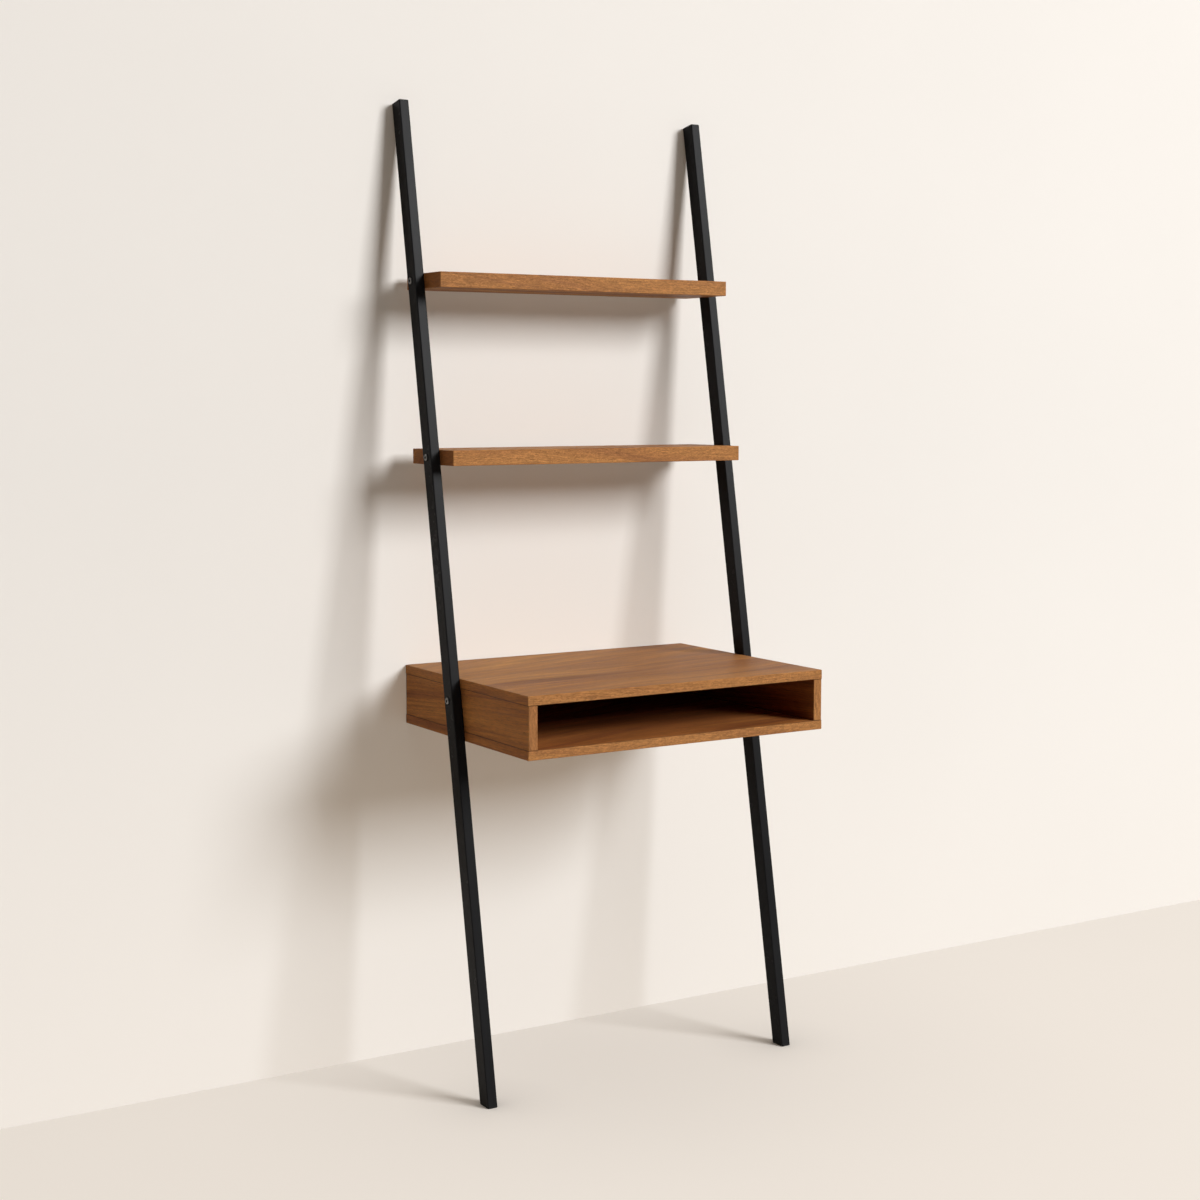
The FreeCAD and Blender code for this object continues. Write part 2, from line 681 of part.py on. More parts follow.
sub_parts = build()
doc.recompute()
check(sub_parts)
write(sub_parts)
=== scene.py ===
import math

import bpy
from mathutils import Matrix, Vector


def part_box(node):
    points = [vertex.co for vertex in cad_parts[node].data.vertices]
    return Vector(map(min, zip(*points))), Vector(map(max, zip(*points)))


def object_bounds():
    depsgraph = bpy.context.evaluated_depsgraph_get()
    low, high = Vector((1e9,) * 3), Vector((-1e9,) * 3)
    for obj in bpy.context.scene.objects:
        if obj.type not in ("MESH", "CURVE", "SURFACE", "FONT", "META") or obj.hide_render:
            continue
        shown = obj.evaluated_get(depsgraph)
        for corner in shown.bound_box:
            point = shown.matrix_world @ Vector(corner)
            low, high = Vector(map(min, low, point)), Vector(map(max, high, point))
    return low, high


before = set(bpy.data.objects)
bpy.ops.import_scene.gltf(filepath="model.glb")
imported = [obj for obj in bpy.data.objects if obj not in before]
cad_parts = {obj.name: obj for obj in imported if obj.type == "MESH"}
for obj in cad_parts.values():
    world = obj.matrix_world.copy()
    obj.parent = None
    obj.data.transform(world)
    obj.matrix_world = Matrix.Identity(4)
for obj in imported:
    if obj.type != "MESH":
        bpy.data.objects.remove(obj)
cad_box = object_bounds()

# The ladder desk: walnut boards and black steel rails, seen against the wall that it leans on.
# Lengths are in metres and colours are linear. A noise's scale is given for each axis, in waves
# per metre.

WALL_Y = cad_box[1].y
STATIONS = ("upper", "middle", "desk")
SIDES = ("left", "right")
NOISE_MIDDLE, NOISE_SWING = 0.5, 0.2  # most of a noise's values lie this near to its middle
MOST_NOISE = (NOISE_MIDDLE - NOISE_SWING, NOISE_MIDDLE + NOISE_SWING)
NEARLY_ALL_NOISE = (0.25, 0.75)
MOST_OF_TWO = (0.6, 1.4)  # where most values of two added noises lie


# Shader nodes


def add_node(tree, kind, inputs=None, **settings):
    """A node with its settings, and with each named input linked to a socket or set to a value."""
    made = tree.nodes.new(kind)
    for name, value in settings.items():
        setattr(made, name, value)
    for name, value in (inputs or {}).items():
        if isinstance(value, bpy.types.NodeSocket):
            tree.links.new(value, made.inputs[name])
        else:
            made.inputs[name].default_value = value
    return made


def maths(tree, operation, *values):
    """The number that an operation on numbers gives."""
    inputs = dict(enumerate(values))
    return add_node(tree, "ShaderNodeMath", inputs, operation=operation).outputs[0]


def product(tree, *values):
    """All the numbers multiplied together."""
    total = values[0]
    for value in values[1:]:
        total = maths(tree, "MULTIPLY", total, value)
    return total


def vector_maths(tree, operation, *values):
    """The vector that an operation on vectors gives."""
    inputs = dict(enumerate(values))
    return add_node(tree, "ShaderNodeVectorMath", inputs, operation=operation).outputs["Vector"]


def vector_measure(tree, operation, *values):
    """The number that an operation on vectors gives, such as a length."""
    inputs = dict(enumerate(values))
    return add_node(tree, "ShaderNodeVectorMath", inputs, operation=operation).outputs["Value"]


def split(tree, vector):
    """A vector's X, Y and Z, by name."""
    return add_node(tree, "ShaderNodeSeparateXYZ", {"Vector": vector}).outputs


def join(tree, **axes):
    """A vector from its X, Y and Z, of which any may be left out."""
    return add_node(tree, "ShaderNodeCombineXYZ", axes).outputs["Vector"]


def row_place(tree):
    """The place on a surface, in the row frame."""
    return add_node(tree, "ShaderNodeTexCoord").outputs["Object"]


def noise(tree, place, scale, detail=2.0, roughness=0.5, distortion=0.0):
    """Noise from 0 to 1 at a place, with a scale for each axis."""
    inputs = {
        "Vector": vector_maths(tree, "MULTIPLY", place, scale),
        "Scale": 1.0,
        "Detail": detail,
        "Roughness": roughness,
        "Distortion": distortion,
    }
    return add_node(tree, "ShaderNodeTexNoise", inputs).outputs["Fac"]


def map_range(tree, value, low, high, to_low=0.0, to_high=1.0, smooth=False):
    """The value's range from low to high, carried to another range and clamped there."""
    inputs = {
        "Value": value,
        "From Min": low,
        "From Max": high,
        "To Min": to_low,
        "To Max": to_high,
    }
    kind = "SMOOTHSTEP" if smooth else "LINEAR"
    made = add_node(tree, "ShaderNodeMapRange", inputs, interpolation_type=kind)
    return made.outputs["Result"]


def darkened_within(tree, distance, near, far, least):
    """The least light up to a near distance, rising to full light at a far one."""
    return map_range(tree, distance, near, far, least, 1.0, smooth=True)


def ramp(tree, value, stops):
    """A colour for a value from 0 to 1, from (position, colour) stops."""
    made = add_node(tree, "ShaderNodeValToRGB", {"Fac": value})
    elements = made.color_ramp.elements
    while len(elements) < len(stops):
        elements.new(1.0)
    for element, (position, colour) in zip(elements, stops):
        element.position = position
        element.color = (*colour, 1.0)
    return made.outputs["Color"]


def mix_colours(tree, factor, first, second):
    """Two colours mixed by a factor. A colour is a socket or three numbers."""
    made = add_node(tree, "ShaderNodeMix", {"Factor": factor}, data_type="RGBA")
    for name, colour in (("A", first), ("B", second)):
        socket = next(s for s in made.inputs if s.name == name and s.type == "RGBA")
        if isinstance(colour, bpy.types.NodeSocket):
            tree.links.new(colour, socket)
        else:
            socket.default_value = (*colour, 1.0)
    return next(s for s in made.outputs if s.type == "RGBA")


def mix_places(tree, factor, first, second):
    """Two places mixed by a factor."""
    made = add_node(tree, "ShaderNodeMix", {"Factor": factor}, data_type="VECTOR")
    sockets = [s for s in made.inputs if s.type == "VECTOR" and s.name in "AB"]
    for place, socket in zip((first, second), sockets):
        tree.links.new(place, socket)
    return next(s for s in made.outputs if s.type == "VECTOR")


def mix_shaders(tree, factor, first, second):
    """Two shaders mixed by a factor."""
    made = add_node(tree, "ShaderNodeMixShader", {"Fac": factor})
    for index, shader in enumerate((first, second), 1):
        tree.links.new(shader.outputs[0], made.inputs[index])
    return made.outputs["Shader"]


def new_material(name):
    """A material without nodes. Returns the material and its tree."""
    material = bpy.data.materials.new(name)
    material.use_nodes = True
    material.node_tree.nodes.clear()
    return material, material.node_tree


def finish_material(tree, shader_inputs, height, depth):
    """The shader at the end of a material, with a bump of a real depth."""
    bump = add_node(tree, "ShaderNodeBump", {"Height": height, "Distance": depth, "Strength": 1.0})
    shader_inputs = {**shader_inputs, "Normal": bump.outputs["Normal"]}
    shader = add_node(tree, "ShaderNodeBsdfPrincipled", shader_inputs)
    add_node(tree, "ShaderNodeOutputMaterial", {"Surface": shader.outputs["BSDF"]})


def linear(red, green, blue):
    """A linear colour from sRGB values of 0 to 255."""
    values = [channel / 255 for channel in (red, green, blue)]
    return tuple(v / 12.92 if v <= 0.04045 else ((v + 0.055) / 1.055) ** 2.4 for v in values)


# Masks and measures on the surface

FACING_LEAST = 0.8  # of a normal's length, along the axis that a face looks along
PATCH_SCALE, PATCH_EDGE, PATCH_LEAST = (60, 60, 60), (0.35, 0.65), 0.3  # where an edge is rubbed
CHAMFER_ROOM = 0.001  # more than the chamfers of the front edges take
SURFACE_SLACK = 0.0002  # how far past a box a place on one of its faces may lie


def facing(tree, axis):
    """1 on faces that look along an axis, either way, and 0 on the others."""
    normal = add_node(tree, "ShaderNodeNewGeometry").outputs["True Normal"]
    along = maths(tree, "ABSOLUTE", split(tree, normal)[axis])
    return maths(tree, "GREATER_THAN", along, FACING_LEAST)


def past_box(tree, place, low, high):
    """How far a place is past a box's faces on each axis, which is below 0 within the box."""
    out = vector_maths(tree, "ABSOLUTE", vector_maths(tree, "SUBTRACT", place, (low + high) / 2))
    return split(tree, vector_maths(tree, "SUBTRACT", out, (high - low) / 2))


def from_edge(tree, place, low, high):
    """How far a place on a box's surface is from the nearest edge of the box. Of its depths on the
    three axes this is the middle one."""
    past = past_box(tree, place, low, high)
    less = maths(tree, "MINIMUM", past["X"], past["Y"])
    more = maths(tree, "MAXIMUM", past["X"], past["Y"])
    middle = maths(tree, "MINIMUM", more, maths(tree, "MAXIMUM", less, past["Z"]))
    return maths(tree, "MULTIPLY", middle, -1.0)


def rubbed(tree, place, distance, width):
    """1 at an edge that is rubbed, in patches, and 0 away from it."""
    patches = noise(tree, place, PATCH_SCALE, detail=3.0)
    patches = map_range(tree, patches, *PATCH_EDGE, PATCH_LEAST, 1.0)
    return product(tree, map_range(tree, distance, 0.0, width, 1.0, 0.0, smooth=True), patches)


def middle_of(node):
    """The middle of a node's box."""
    low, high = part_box(node)
    return (low + high) / 2


def from_bolts(tree, place):
    """How far a place is from the nearest bolt's axis."""
    axes = split(tree, place)
    flat = join(tree, Y=axes["Y"], Z=axes["Z"])
    nearest = 1.0
    for station in STATIONS:
        middle = middle_of(f"left_{station}_bolt")
        away = vector_measure(tree, "DISTANCE", flat, (0.0, middle.y, middle.z))
        nearest = maths(tree, "MINIMUM", nearest, away)
    return nearest


def inside_box(tree, place):
    """1 on the faces that look into the desk's open box, and 0 on the others."""
    left, right, back = (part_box(f"desk_{name}") for name in ("left_side", "right_side", "back"))
    low = Vector((left[1].x, cad_box[0].y + CHAMFER_ROOM, left[0].z))
    high = Vector((right[0].x, back[0].y, left[1].z))
    past = past_box(tree, place, low, high)
    farthest = maths(tree, "MAXIMUM", past["X"], maths(tree, "MAXIMUM", past["Y"], past["Z"]))
    return maths(tree, "LESS_THAN", farthest, SURFACE_SLACK)


# Walnut

WALNUT_TONES = (
    (0.0, linear(106, 62, 33)),
    (0.3, linear(153, 100, 61)),
    (0.55, linear(172, 117, 67)),
    (0.78, linear(190, 133, 76)),
    (1.0, linear(210, 154, 92)),
)
PITH_ACROSS, PITH_DOWN = 0.38, -0.17  # from the board's middle to the tree's own middle
PITH_TILT = 0.07  # how much the pith sinks along the grain
# Scales of the figure along, across and down through the grain
SWAY_SCALE, SWAY = (2.5, 5, 5), 0.02
WAVE_SCALE, WAVE = (14, 22, 22), 0.0025
FIBRE_SCALE = (55, 420, 420)
FLECK_SCALE = (120, 420, 420)
PORE_SCALE = (90, 1300, 1300)
# Scales of the figure along the grain and out from the pith
BROAD_SCALE = (1.6, 34, 1)
RING_SCALE = (2.6, 150, 1)
LINE_SCALE = (7, 620, 1)
BROAD_SHARE = 0.55  # of the tone, of which the rings give the rest
EDGE_CONTRAST, EDGE_TONE = 0.4, 0.34  # an edge band's tones lie closer together
LINE_LIGHT = (0.82, 1.14)
FIBRE_LIGHT = (0.82, 1.16)
FLECK_LIGHT = (0.62, 1.38)
PORE_LIGHT = 0.66
PORE_EDGE = (0.60, 0.72)  # where noise turns into a pore
FIBRE_HEIGHT, PORE_HEIGHT = 0.5, -0.8
GRAIN_DEPTH = 0.00012
WALNUT_ROUGHNESS = (0.44, 0.62)
WALNUT_SPECULAR = 0.12
FACE_STEP, EDGE_STEP = 3.7, -2.9  # along the grain, from one board's figure to the next
RUB_AND_HIGHLIGHT_WIDTH, RUB_AND_HIGHLIGHT_GAIN, WEAR_POLISH = 0.0012, 1.3, -0.08  # of the rubbed edges; their lightening is wear and also a painted highlight
GLUE_LINE, GLUE_DARK = 0.0005, 0.36  # half the width of the dark line at a joint, and its light
WALL_SHADE_BAND, WALL_SHADE_LEAST = (0.001, 0.003), 0.25  # painted shade: the dark line where a board meets the wall
# Tints: none; on the ends of a shelf; on the ends of a desk panel, a painted light that makes them
# lighter; and inside the box, a painted shade
PLAIN = (1.0, 1.0, 1.0)
SHELF_END = (1.02, 0.86, 0.78)
DESK_END_PAINTED_LIGHT = (1.42, 1.24, 1.12)
INSIDE_PAINTED_SHADE = (0.88, 0.73, 0.65)


def wood_group():
    """The figure of walnut. The grain runs along X of the place that goes in, and Fleck, from 0 to
    1, breaks it into the short wavy flecks of an edge band."""
    tree = bpy.data.node_groups.new("walnut_figure", "ShaderNodeTree")
    tree.interface.new_socket("Place", in_out="INPUT", socket_type="NodeSocketVector")
    tree.interface.new_socket("Fleck", in_out="INPUT", socket_type="NodeSocketFloat")
    tree.interface.new_socket("Color", in_out="OUTPUT", socket_type="NodeSocketColor")
    tree.interface.new_socket("Height", in_out="OUTPUT", socket_type="NodeSocketFloat")
    tree.interface.new_socket("Roughness", in_out="OUTPUT", socket_type="NodeSocketFloat")
    given = tree.nodes.new("NodeGroupInput").outputs
    place, fleck = given["Place"], given["Fleck"]

    # Rings about the pith, which wanders along the grain.
    sway = noise(tree, place, SWAY_SCALE, detail=1.0)
    sway = map_range(tree, sway, *NEARLY_ALL_NOISE, -SWAY, SWAY)
    wave = map_range(tree, noise(tree, place, WAVE_SCALE), *NEARLY_ALL_NOISE, -WAVE, WAVE)
    axes = split(tree, place)
    across = maths(tree, "SUBTRACT", axes["Y"], PITH_ACROSS)
    across = maths(tree, "ADD", across, maths(tree, "ADD", sway, wave))
    down = maths(tree, "SUBTRACT", axes["Z"], PITH_DOWN)
    down = maths(tree, "MULTIPLY_ADD", axes["X"], PITH_TILT, down)
    radius = vector_measure(tree, "LENGTH", join(tree, X=across, Y=down))
    log_place = join(tree, X=axes["X"], Y=radius)

    broad = noise(tree, log_place, BROAD_SCALE, roughness=0.45)
    rings = noise(tree, log_place, RING_SCALE, roughness=0.6)
    lines = noise(tree, log_place, LINE_SCALE, roughness=0.6)
    fibres = noise(tree, place, FIBRE_SCALE, detail=3.0, roughness=0.65, distortion=0.4)
    flecks = noise(tree, place, FLECK_SCALE, roughness=0.7, distortion=1.4)
    pores = map_range(tree, noise(tree, place, PORE_SCALE, detail=1.0), *PORE_EDGE, smooth=True)

    tone = maths(tree, "MULTIPLY", rings, 1.0 - BROAD_SHARE)
    tone = maths(tree, "MULTIPLY_ADD", broad, BROAD_SHARE, tone)
    tone = map_range(tree, tone, *MOST_NOISE)
    evened = maths(tree, "MULTIPLY_ADD", tone, EDGE_CONTRAST, EDGE_TONE)
    tone = add_node(tree, "ShaderNodeMix", {"Factor": fleck, "A": tone, "B": evened})
    colour = ramp(tree, tone.outputs["Result"], WALNUT_TONES)

    line_light = map_range(tree, lines, *MOST_NOISE, *LINE_LIGHT)
    fibre_light = map_range(tree, fibres, *MOST_NOISE, *FIBRE_LIGHT)
    swing = product(tree, maths(tree, "SUBTRACT", flecks, NOISE_MIDDLE), fleck)
    fleck_light = map_range(tree, swing, -NOISE_SWING, NOISE_SWING, *FLECK_LIGHT)
    pore_light = map_range(tree, pores, 0.0, 1.0, 1.0, PORE_LIGHT)
    light = product(tree, fibre_light, fleck_light, pore_light, line_light)

    pore_height = maths(tree, "MULTIPLY", pores, PORE_HEIGHT)
    coarse = maths(tree, "ADD", fibres, rings)
    results = {
        "Color": vector_maths(tree, "MULTIPLY", colour, light),
        "Height": maths(tree, "MULTIPLY_ADD", fibres, FIBRE_HEIGHT, pore_height),
        "Roughness": map_range(tree, coarse, *MOST_OF_TWO, *WALNUT_ROUGHNESS),
    }
    outputs = tree.nodes.new("NodeGroupOutput")
    for name, socket in results.items():
        tree.links.new(socket, outputs.inputs[name])
    return tree


WOOD_FIGURE = wood_group()
# Which axes of the row frame lie along, across and down through the grain
ALONG_X = ("X", "Y", "Z")
ALONG_Y = ("Y", "X", "Z")
ALONG_Z = ("Z", "X", "Y")


def grain_place(tree, place, axes, middle, along):
    """The place in a board's own grain, whose first axis runs along the grain."""
    moved = split(tree, vector_maths(tree, "SUBTRACT", place, middle))
    turned = {name: moved[axis] for name, axis in zip("XYZ", axes)}
    turned["X"] = maths(tree, "ADD", turned["X"], along)
    return join(tree, **turned)


def walnut(node, face_grain, edge_grain, edge_axis, end_tint, joints, in_desk, seed):
    """Oiled walnut veneer for a board. Faces that look along edge_axis are banded with a grain of
    their own, those that look along X have the end tint, and the joints, heights at which the board
    meets another, show a dark line. The edge at the wall has a painted shade, the rubbed edges also
    a painted highlight; on a desk panel the end tint is a painted light, and inside the box a
    painted shade."""
    low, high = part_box(node)
    middle = (low + high) / 2
    material, tree = new_material(f"walnut_{node}")
    place = row_place(tree)
    face_place = grain_place(tree, place, face_grain, middle, FACE_STEP * seed)
    edge_place = grain_place(tree, place, edge_grain, middle, EDGE_STEP * seed)
    figure = add_node(tree, "ShaderNodeGroup", node_tree=WOOD_FIGURE)
    figure_place = mix_places(tree, facing(tree, edge_axis), face_place, edge_place)
    tree.links.new(figure_place, figure.inputs["Place"])
    tree.links.new(facing(tree, "Y"), figure.inputs["Fleck"])

    # The painted shade at the wall and the dark lines at the joints show on the faces that cross
    # them, not on those that lie in them.
    # rubbed edges are lighter: wear, and also a painted highlight along the edges
    wear = rubbed(tree, place, from_edge(tree, place, low, high), RUB_AND_HIGHLIGHT_WIDTH)
    axes = split(tree, place)
    # painted shade along the edge that meets the wall
    to_wall = maths(tree, "SUBTRACT", WALL_Y, axes["Y"])
    to_wall = maths(tree, "ADD", to_wall, facing(tree, "Y"))
    light = product(
        tree,
        map_range(tree, wear, 0.0, 1.0, 1.0, RUB_AND_HIGHLIGHT_GAIN),
        darkened_within(tree, to_wall, *WALL_SHADE_BAND, WALL_SHADE_LEAST),
    )
    level = facing(tree, "Z")
    for joint in joints:
        away = maths(tree, "ABSOLUTE", maths(tree, "SUBTRACT", axes["Z"], joint))
        away = maths(tree, "ADD", away, level)
        line = darkened_within(tree, away, GLUE_LINE, 2 * GLUE_LINE, GLUE_DARK)
        light = product(tree, light, line)
    # on a desk panel the end tint is a painted light, and inside the box the tint is a painted
    # shade
    tint = mix_colours(tree, facing(tree, "X"), PLAIN, end_tint)
    if in_desk:
        tint = mix_colours(tree, inside_box(tree, place), tint, INSIDE_PAINTED_SHADE)
    colour = vector_maths(tree, "MULTIPLY", figure.outputs["Color"], light)
    shader_inputs = {
        "Base Color": vector_maths(tree, "MULTIPLY", colour, tint),
        "Roughness": maths(tree, "MULTIPLY_ADD", wear, WEAR_POLISH, figure.outputs["Roughness"]),
        "Specular IOR Level": WALNUT_SPECULAR,
    }
    finish_material(tree, shader_inputs, figure.outputs["Height"], GRAIN_DEPTH)
    return material


# Steel, plastic and dowel wood

COAT_TONES = ((0.0, linear(30, 30, 31)), (1.0, linear(37, 37, 38)))
COAT_SHADE = (0.45, 0.9)  # where most values of the cloud and its share of peel lie
PEEL_SCALE, PEEL_DEPTH, PEEL_SHARE = (1400, 1400, 1400), 0.00004, 0.35
COAT_CLOUD = (9, 9, 4)
COAT_ROUGHNESS, COAT_SPECULAR = (0.25, 0.33), 0.039
COAT_WEAR_WIDTH, COAT_WEAR_LIGHT = 0.0016, 1.35
BOLT_SHADE_RING, BOLT_SHADE_LEAST = (0.0075, 0.0095), 0.35  # painted shade in a ring about each bolt head: from the bolt's axis, where it ends
SOCKET_SHADE_BAND, SOCKET_SHADE_LEAST = (0.0026, 0.0034), 0.015  # painted shade in the bolt's socket: from the bolt's axis, where it ends

PLASTIC_TONES = ((0.2, linear(14, 14, 15)), (0.8, linear(21, 21, 21)))
SPARK_SCALE, SPARK_DEPTH = (2300, 2300, 2300), 0.00005
PLASTIC_CLOUD = (40, 40, 40)
PLASTIC_ROUGHNESS, PLASTIC_SPECULAR = (0.5, 0.66), 0.16

BOLT_TONES = ((0.25, linear(98, 98, 98)), (0.75, linear(138, 137, 135)))
BOLT_ROUGHNESS = (0.24, 0.38)
ZINC_TONES = ((0.25, linear(168, 170, 172)), (0.75, linear(206, 208, 206)))
ZINC_ROUGHNESS = (0.3, 0.5)
MARK_SCALE, MARK_DEPTH = (3000, 900, 900), 0.00001  # of the turned marks
PLATE_CLOUD = (260, 260, 260)

BEECH_TONES = ((0.25, linear(176, 132, 88)), (0.75, linear(214, 176, 128)))
BEECH_SCALE, BEECH_DEPTH = (700, 700, 120), 0.0001
BEECH_ROUGHNESS = (0.6, 0.75)


def widest_face(node, towards):
    """The normal of a node's widest face that looks towards a direction, and the plane's offset."""
    faces = [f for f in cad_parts[node].data.polygons if f.normal.dot(towards) > 0.9]
    widest = max(faces, key=lambda face: face.area)
    return widest.normal.copy(), widest.normal.dot(widest.center)


def from_arris(tree, place):
    """How far a place on a rail is from the nearest of the rail's four long edges. Both rails stand
    at the same distance from the middle, so the right one's faces serve for both."""
    low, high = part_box("right_rail")
    depths = []
    for towards in (Vector((0, -1, 0)), Vector((0, 1, 0))):
        normal, offset = widest_face("right_rail", towards)
        reached = vector_measure(tree, "DOT_PRODUCT", place, normal)
        depths.append(maths(tree, "SUBTRACT", offset, reached))
    depth = maths(tree, "MINIMUM", *depths)
    out = maths(tree, "ABSOLUTE", split(tree, place)["X"])
    from_inner = maths(tree, "SUBTRACT", out, low.x)
    from_outer = maths(tree, "SUBTRACT", high.x, out)
    return maths(tree, "MAXIMUM", depth, maths(tree, "MINIMUM", from_inner, from_outer))


def powder_coat():
    """Matt black powder coat: an even fine orange peel, rubbed edges and a painted shade about the
    bolts.
    """
    material, tree = new_material("black_powder_coat")
    place = row_place(tree)
    peel = noise(tree, place, PEEL_SCALE, roughness=0.6)
    cloud = noise(tree, place, COAT_CLOUD, detail=3.0)
    shade = maths(tree, "MULTIPLY_ADD", peel, PEEL_SHARE, cloud)
    colour = ramp(tree, map_range(tree, shade, *COAT_SHADE), COAT_TONES)
    wear = rubbed(tree, place, from_arris(tree, place), COAT_WEAR_WIDTH)
    # painted shade in a ring about each bolt head
    bolt_shade = darkened_within(tree, from_bolts(tree, place), *BOLT_SHADE_RING, BOLT_SHADE_LEAST)
    light = product(tree, bolt_shade, map_range(tree, wear, 0.0, 1.0, 1.0, COAT_WEAR_LIGHT))
    rough = map_range(tree, cloud, *MOST_NOISE, *COAT_ROUGHNESS)
    shader_inputs = {
        "Base Color": vector_maths(tree, "MULTIPLY", colour, light),
        "Roughness": maths(tree, "MULTIPLY_ADD", wear, WEAR_POLISH, rough),
        "Specular IOR Level": COAT_SPECULAR,
    }
    finish_material(tree, shader_inputs, peel, PEEL_DEPTH)
    return material


def moulded_plastic():
    """Black moulded plastic with a fine spark-eroded texture."""
    material, tree = new_material("black_plastic")
    place = row_place(tree)
    texture = noise(tree, place, SPARK_SCALE, detail=3.0)
    cloud = noise(tree, place, PLASTIC_CLOUD)
    shader_inputs = {
        "Base Color": ramp(tree, cloud, PLASTIC_TONES),
        "Roughness": map_range(tree, cloud, *MOST_NOISE, *PLASTIC_ROUGHNESS),
        "Specular IOR Level": PLASTIC_SPECULAR,
    }
    finish_material(tree, shader_inputs, texture, SPARK_DEPTH)
    return material


def plated_steel(name, tones, roughness, sockets=False):
    """Plated steel: turned marks, a cloudy sheen and a metal's reflection. With sockets, the bolts'
    middles get a painted shade in their sockets."""
    material, tree = new_material(name)
    place = row_place(tree)
    marks = noise(tree, place, MARK_SCALE)
    cloud = noise(tree, place, PLATE_CLOUD, detail=3.0)
    colour = ramp(tree, cloud, tones)
    if sockets:
        # painted shade inside each bolt's socket
        socket_shade = darkened_within(tree, from_bolts(tree, place), *SOCKET_SHADE_BAND, SOCKET_SHADE_LEAST)
        colour = vector_maths(tree, "MULTIPLY", colour, socket_shade)
    shader_inputs = {
        "Base Color": colour,
        "Metallic": 1.0,
        "Roughness": map_range(tree, marks, *MOST_NOISE, *roughness),
    }
    finish_material(tree, shader_inputs, marks, MARK_DEPTH)
    return material


def beech():
    """Beech dowels: pale wood with short flecks."""
    material, tree = new_material("dowel_beech")
    flecks = noise(tree, row_place(tree), BEECH_SCALE, detail=3.0, roughness=0.6)
    shader_inputs = {
        "Base Color": ramp(tree, flecks, BEECH_TONES),
        "Roughness": map_range(tree, flecks, *MOST_NOISE, *BEECH_ROUGHNESS),
    }
    finish_material(tree, shader_inputs, flecks, BEECH_DEPTH)
    return material


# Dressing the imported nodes


def dress(node, material):
    """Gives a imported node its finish."""
    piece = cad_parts[node]
    piece.data.materials.clear()
    piece.data.materials.append(material)


def dress_boards():
    """Each board has a figure of its own. It is listed with the grain of its faces and of its edge
    bands, the axis that the bands look along and the tint of its ends."""
    boards = {
        "upper_shelf": (ALONG_X, ALONG_Y, "X", SHELF_END),
        "middle_shelf": (ALONG_X, ALONG_Y, "X", SHELF_END),
        "desk_top": (ALONG_X, ALONG_Y, "X", DESK_END_PAINTED_LIGHT),
        "desk_bottom": (ALONG_X, ALONG_Y, "X", DESK_END_PAINTED_LIGHT),
        "desk_back": (ALONG_X, ALONG_Z, "X", DESK_END_PAINTED_LIGHT),
        "desk_left_side": (ALONG_Y, ALONG_Z, "Y", DESK_END_PAINTED_LIGHT),
        "desk_right_side": (ALONG_Y, ALONG_Z, "Y", DESK_END_PAINTED_LIGHT),
    }
    panel_joints = [corner.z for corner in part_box("desk_left_side")]
    for seed, (node, grains) in enumerate(boards.items(), 1):
        in_desk = node.startswith("desk_")
        joints = panel_joints if in_desk and node != "desk_back" else ()
        dress(node, walnut(node, *grains, joints, in_desk, seed))


def dress_metal():
    """The finishes of everything but the boards."""
    coat, plastic, wood = powder_coat(), moulded_plastic(), beech()
    bolt_steel = plated_steel("bolt_steel", BOLT_TONES, BOLT_ROUGHNESS, sockets=True)
    zinc = plated_steel("zinc_plate", ZINC_TONES, ZINC_ROUGHNESS)
    for side in SIDES:
        dress(f"{side}_rail", coat)
        dress(f"{side}_top_cap", plastic)
        dress(f"{side}_foot", plastic)
        for station in STATIONS:
            dress(f"{side}_{station}_bolt", bolt_steel)
            for part in ("sleeve", "insert", "pin"):
                dress(f"{side}_{station}_{part}", zinc)
    for joint in ("top", "bottom", "back"):
        dress(f"desk_{joint}_dowels", wood)


# Stage, light and camera

STAGE_REACH, WALL_HEIGHT = 14.0, 9.0
WALL_GAP, FLOOR_GAP = 0.0005, 0.0003  # from the desk to the wall and to the floor
FADE_FROM = 2.0  # how far from the frame's origin the paint begins to darken
PAINT_CLOUD, CLOUD_LEAST = (1.5, 1.5, 1.5), 0.985
GLOW_FOR_PAINT = 0.85  # how much paint a glow of 1 takes the place of
LEAST_GLOW = 0.05
CONTACT_REACH, CONTACT_POWER = 0.15, 6.0  # how near the desk dims the glow, and how sharply

KEY_AZIMUTH, KEY_ELEVATION = 149.5, 24.0  # degrees
KEY_DISTANCE, KEY_SIDE, KEY_STRENGTH = 18.0, 7.0, 0.975
# How strong the fill is from above, right and behind, and where on that axis it begins and is full
FILL_ABOVE, ABOVE_FROM_TO = 0.68, (0.6, 0.9)
FILL_RIGHT, RIGHT_FROM_TO = 0.03, (-0.2, 0.8)
FILL_BEHIND, BEHIND_FROM_TO = 0.13, (0.0, 0.4)
FILL_COLOUR = (1.08, 1.0, 0.9)
BACKDROP_COLOUR, BACKDROP_GLOSS = linear(243, 237, 230), 0.25

CAMERA_PLACE = (-1.95896, -3.13674, 1.25848)
CAMERA_AZIMUTH, CAMERA_ELEVATION = 31.64, -4.74  # degrees
CAMERA_SENSOR, CAMERA_LENS = 36.0, 59.58  # millimetres
CAMERA_SHIFT_Y = -0.0333


def seen_directly(tree, glossy=1.0):
    """1 for rays from the camera or through glass, and a share of 1 for glossy rays."""
    rays = add_node(tree, "ShaderNodeLightPath").outputs
    seen = maths(tree, "MAXIMUM", rays["Is Camera Ray"], rays["Is Transmission Ray"])
    return maths(tree, "MULTIPLY_ADD", rays["Is Glossy Ray"], glossy, seen)


